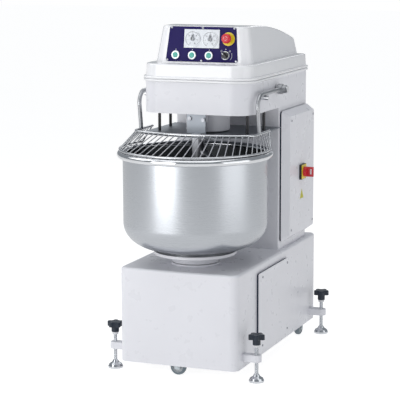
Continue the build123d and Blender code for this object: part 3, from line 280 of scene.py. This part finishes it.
def jack_finish(name, collar_bottom, collar_top):
    """Polished stud and foot, a pale collar above them and a dark moulded knob on top, split by height."""
    material, tree, shader = new_material(name)
    place = place_of(tree)
    height = add(tree, "SeparateXYZ", {0: place}).outputs[2]
    above_stud = math_node(tree, "GREATER_THAN", height, collar_bottom)
    above_collar = math_node(tree, "GREATER_THAN", height, collar_top)
    smear = noise(tree, place, 30.0, 5.0)
    thread = add(tree, "TexWave", {"Vector": place, "Scale": 105.0}, bands_direction="Z").outputs["Fac"]
    steel = blend_colours(tree, smear, (0.62, 0.64, 0.67, 1.0), (0.78, 0.80, 0.83, 1.0))
    lower = blend_colours(tree, above_stud, steel, (0.72, 0.72, 0.74, 1.0))
    knob = blend_colours(tree, smear, (0.004, 0.010, 0.022, 1.0), (0.010, 0.020, 0.038, 1.0))
    on_stud = math_node(tree, "MULTIPLY", math_node(tree, "GREATER_THAN", height, 0.037),
                        math_node(tree, "LESS_THAN", height, collar_bottom))
    finish_shader(tree, shader, {
        "Base Color": blend_colours(tree, above_collar, lower, knob),
        "Metallic": math_node(tree, "SUBTRACT", 1.0, above_stud),
        "Roughness": math_node(tree, "ADD", 0.16, math_node(tree, "MULTIPLY", above_stud, 0.2)),
        "Normal": bump(tree, math_node(tree, "MULTIPLY", thread, on_stud), 0.0008)})
    return material


BOWL_AXIS_Y = JOINTS["bowl_spin"]["pos_m"][1]
MATERIALS = {
    "white_paint": coated("white_paint", (0.76, 0.76, 0.80), 0.32, 300.0),
    "cover_white": coated("cover_white", (0.86, 0.86, 0.88), 0.2, 200.0, coat=0.6, patches=0.01),
    "panel_blue": coated("panel_blue", (0.016, 0.010, 0.095), 0.5, 1500.0, patches=0.08,
                         gloss=0.15),
    "timer_silver": brushed("timer_silver", (0.68, 0.70, 0.73), 0.6, (40.0, 2500.0, 2500.0)),
    "bezel_silver": polished("bezel_silver", (0.60, 0.62, 0.64), 0.3),
    "button_green": moulded("button_green", (0.05, 0.42, 0.33), 0.22, wear=0.08, translucency=0.3),
    "black_plastic": moulded("black_plastic", (0.012, 0.012, 0.015), 0.38),
    "estop_red": moulded("estop_red", (0.62, 0.02, 0.035), 0.28, wear=0.1),
    "estop_yellow": moulded("estop_yellow", (0.80, 0.62, 0.03), 0.35, wear=0.1),
    "seal_rubber": moulded("seal_rubber", (0.012, 0.018, 0.05), 0.6, grain=600.0, depth=0.0001),
    "screw_steel": polished("screw_steel", (0.36, 0.37, 0.40), 0.35),
    "stainless": brushed("stainless", (0.50, 0.51, 0.54), 0.34, (30.0, 900.0, 900.0), depth=0.000008),
    "bead_steel": polished("bead_steel", (0.78, 0.79, 0.81), 0.12),
    "wire_chrome": polished("wire_chrome", (0.66, 0.67, 0.69), 0.22),
    "dark_steel": coated("dark_steel", (0.02, 0.02, 0.024), 0.38, 900.0, patches=0.1),
    "machine_steel": brushed("machine_steel", (0.34, 0.35, 0.37), 0.42, (60.0, 500.0, 500.0)),
    "belt_rubber": moulded("belt_rubber", (0.02, 0.02, 0.02), 0.7, grain=500.0, depth=0.0002),
    "motor_grey": coated("motor_grey", (0.12, 0.16, 0.22), 0.45, 900.0, patches=0.1),
    "jack_chrome": jack_finish("jack_chrome", 0.1525, 0.1615),
    "caster_tread": moulded("caster_tread", (0.16, 0.20, 0.23), 0.5),
    "caster_zinc": polished("caster_zinc", (0.52, 0.57, 0.60), 0.35),
    "electrics_grey": moulded("electrics_grey", (0.18, 0.19, 0.20), 0.5),
    "plate_steel": brushed("plate_steel", (0.27, 0.29, 0.32), 0.45, (30.0, 900.0, 900.0), depth=0.000008),
    # painted shade: a darker steel for the bowl's inner faces, in place of the shade inside the bowl
    "bowl_inside_painted_shade": brushed("bowl_inside_painted_shade", (0.16, 0.17, 0.18), 0.45, (2.0, 900.0, 900.0), 0.0, BOWL_AXIS_Y),
    "arm_satin": polished("arm_satin", (0.46, 0.47, 0.49), 0.36),
    "hub_grey": moulded("hub_grey", (0.50, 0.53, 0.55), 0.4),
    "knob_grey": moulded("knob_grey", (0.42, 0.44, 0.47), 0.35),
    "mark_white": moulded("mark_white", (0.72, 0.74, 0.78), 0.5),
    "olive_yellow": moulded("olive_yellow", (0.52, 0.50, 0.015), 0.5),
    "bowl_steel": brushed("bowl_steel", (0.52, 0.54, 0.57), 0.28, (2.0, 900.0, 900.0), 0.5, BOWL_AXIS_Y,
                          0.000002, contrast=0.03),
}
SPECIAL_FINISHES = {"timer_knob_left": "knob_grey", "timer_knob_right": "knob_grey",
                    "breaker_bracket": "plate_steel", "cover_plate": "plate_steel",
                    "guard_arms": "arm_satin"}


# ---------------------------------------------------------------- piece helpers
def make_piece(name, bm, finish, body, stands_for=(), sharp=32):
    """A mesh piece that rides on a body, smooth except at its sharp edges."""
    bmesh.ops.remove_doubles(bm, verts=bm.verts, dist=0.00002)
    bmesh.ops.recalc_face_normals(bm, faces=bm.faces)
    mesh = bpy.data.meshes.new(name)
    bm.to_mesh(mesh)
    bm.free()
    mesh.shade_smooth()
    mesh.set_sharp_from_angle(angle=math.radians(sharp))
    mesh.materials.append(MATERIALS[finish])
    piece = bpy.data.objects.new(name, mesh)
    bpy.context.scene.collection.objects.link(piece)
    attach(piece, body)
    if stands_for:
        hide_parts(*stands_for)
    return piece


def lathe(bm, profile, frame=None, steps=128):
    """A closed (radius, height) profile turned about the Z axis of a frame."""
    frame = frame or Matrix()
    rings = []
    for index in range(steps):
        turn = frame @ Matrix.Rotation(2 * math.pi * index / steps, 4, "Z")
        rings.append([bm.verts.new(turn @ Vector((radius, 0.0, height))) for radius, height in profile])
    for index, ring in enumerate(rings):
        after = rings[(index + 1) % steps]
        for start in range(len(profile)):
            end = (start + 1) % len(profile)
            if profile[start][0] > 0 or profile[end][0] > 0:
                corners = (ring[start], after[start], after[end], ring[end])
                bm.faces.new(corners)


def arc(centre, radii, start, end, steps=16):
    """Points on an elliptical arc in a (radius, height) profile, from one angle to another in degrees."""
    angles = [math.radians(start + (end - start) * index / steps) for index in range(steps + 1)]
    return [(centre[0] + radii[0] * math.cos(a), centre[1] + radii[1] * math.sin(a)) for a in angles]


def slab(bm, outline, low, high, frame, bevel=0.0):
    """A plate on a convex outline between two heights of a frame, with a chamfered upper edge."""
    middle = sum((Vector(point) for point in outline), Vector((0.0, 0.0))) / len(outline)
    levels = [(low, 0.0), (high - bevel, 0.0)] + ([(high, bevel)] if bevel else [])
    rings = []
    for height, inset in levels:
        ring = []
        for point in outline:
            inward = middle - Vector(point)
            moved = Vector(point) + inward.normalized() * inset
            ring.append(bm.verts.new(frame @ Vector((moved.x, moved.y, height))))
        rings.append(ring)
    bm.faces.new(rings[0][::-1])
    bm.faces.new(rings[-1])
    for lower, upper in zip(rings, rings[1:]):
        for index in range(len(outline)):
            after = (index + 1) % len(outline)
            bm.faces.new((lower[index], lower[after], upper[after], upper[index]))


def bar_outline(start, end, width):
    """A thin rectangle from one point to another."""
    start, end = Vector(start), Vector(end)
    along = (end - start).normalized()
    across = Vector((-along.y, along.x)) * width / 2
    return [start - across, end - across, end + across, start + across]


def arc_marks(bm, centre, radius, start, end, width, low, high, frame, steps=10):
    """A curved line on a face, made of short bars."""
    points = [(centre[0] + x, centre[1] + y) for x, y in arc((0.0, 0.0), (radius, radius), start, end, steps)]
    for first, second in zip(points, points[1:]):
        slab(bm, bar_outline(first, second, width), low, high, frame)


def numeral(bm, text, place, size, low, frame):
    """A raised number that is centred on a place."""
    curve = bpy.data.curves.new("numeral", "FONT")
    curve.body, curve.size, curve.extrude = text, size, 0.00015
    curve.align_x, curve.align_y = "CENTER", "CENTER"
    carrier = bpy.data.objects.new("numeral", curve)
    mesh = bpy.data.meshes.new_from_object(carrier)
    mesh.transform(frame @ Matrix.Translation((*place, low)))
    bm.from_mesh(mesh)
    bpy.data.objects.remove(carrier)
    bpy.data.curves.remove(curve)
    bpy.data.meshes.remove(mesh)


def face_frame(joint, rest_height=0.0):
    """The control panel's frame at a joint: X to the user's right, Y up the panel, Z towards the user."""
    outward = -Vector(JOINTS[joint]["axis"]).normalized()
    across = Vector((1.0, 0.0, 0.0))
    frame = Matrix((across, outward.cross(across), outward)).transposed().to_4x4()
    frame.translation = Vector(JOINTS[joint]["pos_m"]) + outward * rest_height
    return frame


# ---------------------------------------------------------------- bowl
def make_bowl():
    """The bowl's pan and wall in one smooth turned shape, with painted shade on its inner faces, and its
    rolled bead.
    """
    centre = Matrix.Translation((0.0, BOWL_AXIS_Y, 0.0))
    low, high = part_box("bowl_bottom")
    radius, bend = high[0], high[2]
    flat = radius - KNUCKLE_WIDTH
    bottom = bend - KNUCKLE_HEIGHT
    bead_edge, _, bead_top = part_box("bowl_wall")[1]
    bead_middle = bead_top - BEAD_RADIUS
    profile = [(0.0, low[2]), (BOSS_RADIUS, low[2]), (BOSS_RADIUS, bottom)]
    profile += arc((flat, bend), (KNUCKLE_WIDTH, KNUCKLE_HEIGHT), 270, 360, 28)
    profile += [(radius, bead_middle), (radius - BOWL_THICKNESS, bead_middle)]
    inner_radii = (KNUCKLE_WIDTH - BOWL_THICKNESS, KNUCKLE_HEIGHT - BOWL_THICKNESS)
    profile += arc((flat, bend), inner_radii, 360, 270, 28)
    profile += [(0.0, bottom + BOWL_THICKNESS)]
    bm = bmesh.new()
    lathe(bm, profile, centre, BOWL_STEPS)
    shell = make_piece("bowl_shell", bm, "bowl_steel", "bowl", ("bowl_bottom",))
    # painted shade on the bowl's inner faces
    shade_inside(shell, bottom, bend)
    bm = bmesh.new()
    bead = arc((bead_edge - BEAD_RADIUS, bead_middle), (BEAD_RADIUS, BEAD_RADIUS), 0, 345, 23)
    lathe(bm, bead, centre, BOWL_STEPS)
    make_piece("bowl_bead", bm, "bead_steel", "bowl", ("bowl_wall",), sharp=60)


def shade_inside(shell, bottom, bend):
    """Painted shade: give darker steel to the bowl's inner faces, those that look towards its axis or
    upwards, in place of the shade inside the bowl.
    """
    shell.data.materials.append(MATERIALS["bowl_inside_painted_shade"])
    for face in shell.data.polygons:
        below_bend = max(0.0, bend - face.center.z)
        outward = Vector((face.center.x, face.center.y - BOWL_AXIS_Y, below_bend))
        if face.center.z > bottom and face.normal.dot(outward) < 0:
            face.material_index = 1


# ---------------------------------------------------------------- wheels
def make_wheels():
    """Each caster wheel as a rounded tyre on a pale dished hub."""
    for joint, body, node in (("caster_wheel_spin", "caster_wheel", "front_caster_wheel"),
                              ("wheel_left_spin", "wheel_left", "rear_wheel_left"),
                              ("wheel_right_spin", "wheel_right", "rear_wheel_right")):
        low, high = (Vector(corner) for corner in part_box(node))
        radius, half = (high.z - low.z) / 2, min(high.x - low.x, high.y - low.y) / 2
        axis = Vector(JOINTS[joint]["axis"])
        frame = axis.to_track_quat("Z", "Y").to_matrix().to_4x4()
        frame.translation = (low + high) / 2
        rim = radius * 0.68
        tyre = [(rim, -half), (radius - 0.005, -half), (radius - 0.001, -half * 0.6), (radius, 0.0),
                (radius - 0.001, half * 0.6), (radius - 0.005, half), (rim, half)]
        disc = half * 0.45
        hub = [(AXLE_BORE, -half), (AXLE_BORE * 2, -half), (AXLE_BORE * 2.4, -disc), (rim - 0.004, -disc),
               (rim - 0.001, -half * 0.9), (rim, -half * 0.9), (rim, half * 0.9), (rim - 0.001, half * 0.9),
               (rim - 0.004, disc), (AXLE_BORE * 2.4, disc), (AXLE_BORE * 2, half), (AXLE_BORE, half)]
        bm = bmesh.new()
        lathe(bm, tyre, frame, WHEEL_STEPS)
        make_piece(f"{body}_tyre", bm, "caster_tread", body, (node,))
        bm = bmesh.new()
        lathe(bm, hub, frame, WHEEL_STEPS)
        make_piece(f"{body}_hub", bm, "hub_grey", body)


# ---------------------------------------------------------------- control panel
def make_dials():
    """Each timer's rim, its ring of marks and its generic numbers."""
    marks = bmesh.new()
    rims = bmesh.new()
    for side in ("left", "right"):
        frame = face_frame(f"timer_{side}_turn")
        top = DIAL_HEIGHT
        foot, crest = top - 0.0015, top + 0.0011
        lathe(rims, [(0.0335, foot), (0.0358, foot), (0.0352, crest), (0.0341, crest)], frame, 72)
        for index in range(DIAL_MARKS):
            angle = math.radians(240 - 300 * index / (DIAL_MARKS - 1))
            direction = Vector((math.cos(angle), math.sin(angle)))
            long_mark = index % 5 == 0
            inner = 0.0262 if long_mark else 0.0285
            slab(marks, bar_outline(direction * inner, direction * 0.0318, 0.0009 if long_mark else 0.0005),
                 top, top + MARK_HEIGHT, frame)
            if long_mark:
                numeral(marks, str(index), direction * 0.0215, 0.0075, top + 0.0001, frame)
        arc_marks(marks, (0.0, 0.0), 0.0322, -60, 240, 0.0006, top, top + MARK_HEIGHT, frame, 40)
    make_piece("dial_rims", rims, "bezel_silver", "root")
    make_piece("dial_marks", marks, "black_plastic", "root", sharp=20)


def make_panel_marks():
    """Generic white marks on the control plate: a line over each button and a three-place scale."""
    bm = bmesh.new()
    frame = face_frame("selector_turn", PANEL_THICKNESS)
    for side in ("left", "middle", "right"):
        low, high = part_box(f"start_button_{side}")
        place = Vector(((low[0] + high[0]) / 2 - frame.translation.x, -0.002))
        line = bar_outline(place + Vector((0.0, 0.0215)), place + Vector((0.0, 0.0265)), 0.002)
        slab(bm, line, 0.0, MARK_HEIGHT, frame)
    for angle, size in ((135, 0.0055), (90, 0.0035), (45, 0.0055)):
        direction = Vector((math.cos(math.radians(angle)), math.sin(math.radians(angle)))) * 0.027
        arc_marks(bm, direction, size * 0.62, 0, 360, 0.0013, 0.0, MARK_HEIGHT, frame)
    arc_marks(bm, (0.0, 0.0), 0.029, -38, 22, 0.0014, 0.0, MARK_HEIGHT, frame)
    make_piece("panel_marks", bm, "mark_white", "root", sharp=20)


def make_selector_pointer():
    """The white line on the selector's grip."""
    bm = bmesh.new()
    frame = face_frame("selector_turn", GRIP_HEIGHT) @ Matrix.Rotation(math.radians(45), 4, "Z")
    slab(bm, bar_outline((0.0, 0.003), (0.0, 0.0135), 0.0028), 0.0, 0.0004, frame)
    make_piece("selector_pointer", bm, "mark_white", "selector", sharp=20)


def make_timer_needles():
    """The dark line on each timer's pale knob, which points at its marks."""
    for side in ("left", "right"):
        bm = bmesh.new()
        frame = face_frame(f"timer_{side}_turn", KNOB_HEIGHT)
        slab(bm, bar_outline((0.0, -0.0075), (0.0, 0.0075), 0.0026), 0.0, 0.0008, frame, 0.0003)
        slab(bm, bar_outline((0.0, 0.006), (0.0, 0.0185), 0.0022), -0.003, -0.0022, frame, 0.0003)
        make_piece(f"timer_{side}_needle", bm, "black_plastic", f"timer_{side}", sharp=20)


def make_stop_arrows():
    """Three raised curved arrows on the emergency stop's head."""
    bm = bmesh.new()
    frame = face_frame("estop_twist")
    outward = frame.col[2].to_3d()
    vertices = NODES["estop_head"].data.vertices
    top = max((vertex.co - frame.translation).dot(outward) for vertex in vertices)
    for start in (20, 140, 260):
        arc_marks(bm, (0.0, 0.0), 0.0085, start, start + 70, 0.0009, top - 0.0004, top + MARK_HEIGHT,
                  frame, 8)
    make_piece("stop_arrows", bm, "mark_white", "estop_mushroom", sharp=20)


# ---------------------------------------------------------------- cabinet
def make_triangle():
    """A blank yellow triangle on the cabinet's cover, below the main switch."""
    frame = Matrix(((0.0, 0.0, 1.0), (1.0, 0.0, 0.0), (0.0, 1.0, 0.0))).to_4x4()
    frame.translation = (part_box("cabinet_cover")[1][0], TRIANGLE_PLACE[0], TRIANGLE_PLACE[1])
    bm = bmesh.new()
    slab(bm, [(-0.026, -0.021), (0.026, -0.021), (0.0, 0.022)], 0.0, MARK_HEIGHT, frame)
    make_piece("blank_triangle", bm, "olive_yellow", "root", sharp=20)


def dress_cad_nodes():
    """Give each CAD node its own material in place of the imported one."""
    for part in frame["record"]["subparts"]:
        node = part["node"]
        mesh = NODES[node].data
        mesh.materials.clear()
        mesh.materials.append(MATERIALS[SPECIAL_FINISHES.get(node, part["material_slot"])])


# ---------------------------------------------------------------- stage
def make_floor():
    """A plain floor, far larger than the view, that the camera sees lighter than the machine does."""
    bm = bmesh.new()
    bmesh.ops.create_grid(bm, x_segments=4, y_segments=4, size=30.0)
    mesh = bpy.data.meshes.new("floor")
    bm.to_mesh(mesh)
    bm.free()
    floor = bpy.data.objects.new("floor", mesh)
    bpy.context.scene.collection.objects.link(floor)
    material, tree, shader = new_material("floor")
    tone = noise(tree, place_of(tree), 0.8)
    seen = add(tree, "LightPath").outputs["Is Camera Ray"]
    finish_shader(tree, shader, {
        "Base Color": blend_colours(tree, tone, (0.32, 0.32, 0.32, 1.0), (0.35, 0.35, 0.35, 1.0)),
        "Roughness": 0.9,
        "Emission Color": (*BACKDROP_WHITE, 1.0),
        "Emission Strength": remap(tree, seen, (0.0, 1.0), (FLOOR_GLOW, FLOOR_SHOWN))})
    mesh.materials.append(material)


def make_sky():
    """A dim, even surround that the camera sees as plain white."""
    world = bpy.data.worlds.new("studio")
    world.use_nodes = True
    tree = world.node_tree
    tree.nodes.clear()
    surround = add(tree, "Background", {"Color": (*SKY_COLOUR, 1.0), "Strength": SKY_STRENGTH})
    backdrop = add(tree, "Background", {"Color": (*BACKDROP_WHITE, 1.0), "Strength": 1.0})
    seen = add(tree, "LightPath").outputs["Is Camera Ray"]
    either = add(tree, "MixShader", {0: seen, 1: surround.outputs[0], 2: backdrop.outputs[0]})
    output = add(tree, "OutputWorld")
    tree.links.new(either.outputs[0], output.inputs["Surface"])
    bpy.context.scene.world = world


def softbox(name, azimuth, elevation, distance, size, power):
    """A rectangular area light that faces the machine. Azimuth 0 is in front, 90 on the right."""
    data = bpy.data.lights.new(name, "AREA")
    data.shape = "RECTANGLE"
    data.size, data.size_y = size
    data.energy = power
    lamp = bpy.data.objects.new(name, data)
    around_axis, upwards = math.radians(azimuth), math.radians(elevation)
    level = math.cos(upwards)
    towards = Vector((math.sin(around_axis) * level, -math.cos(around_axis) * level, math.sin(upwards)))
    lamp.location = Vector(LAMP_TARGET) + distance * towards
    lamp.rotation_euler = towards.to_track_quat("Z", "Y").to_euler()
    bpy.context.scene.collection.objects.link(lamp)


def make_camera():
    """The camera at the machine's front right, a little above it."""
    data = bpy.data.cameras.new("camera")
    data.lens = CAMERA_LENS
    camera = bpy.data.objects.new("camera", data)
    turn = Euler((CAMERA_TILT, 0.0, CAMERA_TURN)).to_matrix() @ Matrix.Rotation(CAMERA_ROLL, 3, "Z")
    camera.location = CAMERA_PLACE
    camera.rotation_euler = turn.to_euler()
    bpy.context.scene.collection.objects.link(camera)
    bpy.context.scene.camera = camera


def light_the_studio():
    """A soft key from the front left, and weaker lamps from the right, above, behind and the left."""
    for lamp in LAMPS:
        softbox(*lamp)


bpy.context.scene.view_settings.view_transform = "Standard"
make_camera()
make_sky()
light_the_studio()
make_floor()
dress_cad_nodes()
make_bowl()
make_wheels()
make_dials()
make_panel_marks()
make_selector_pointer()
make_timer_needles()
make_stop_arrows()
make_triangle()
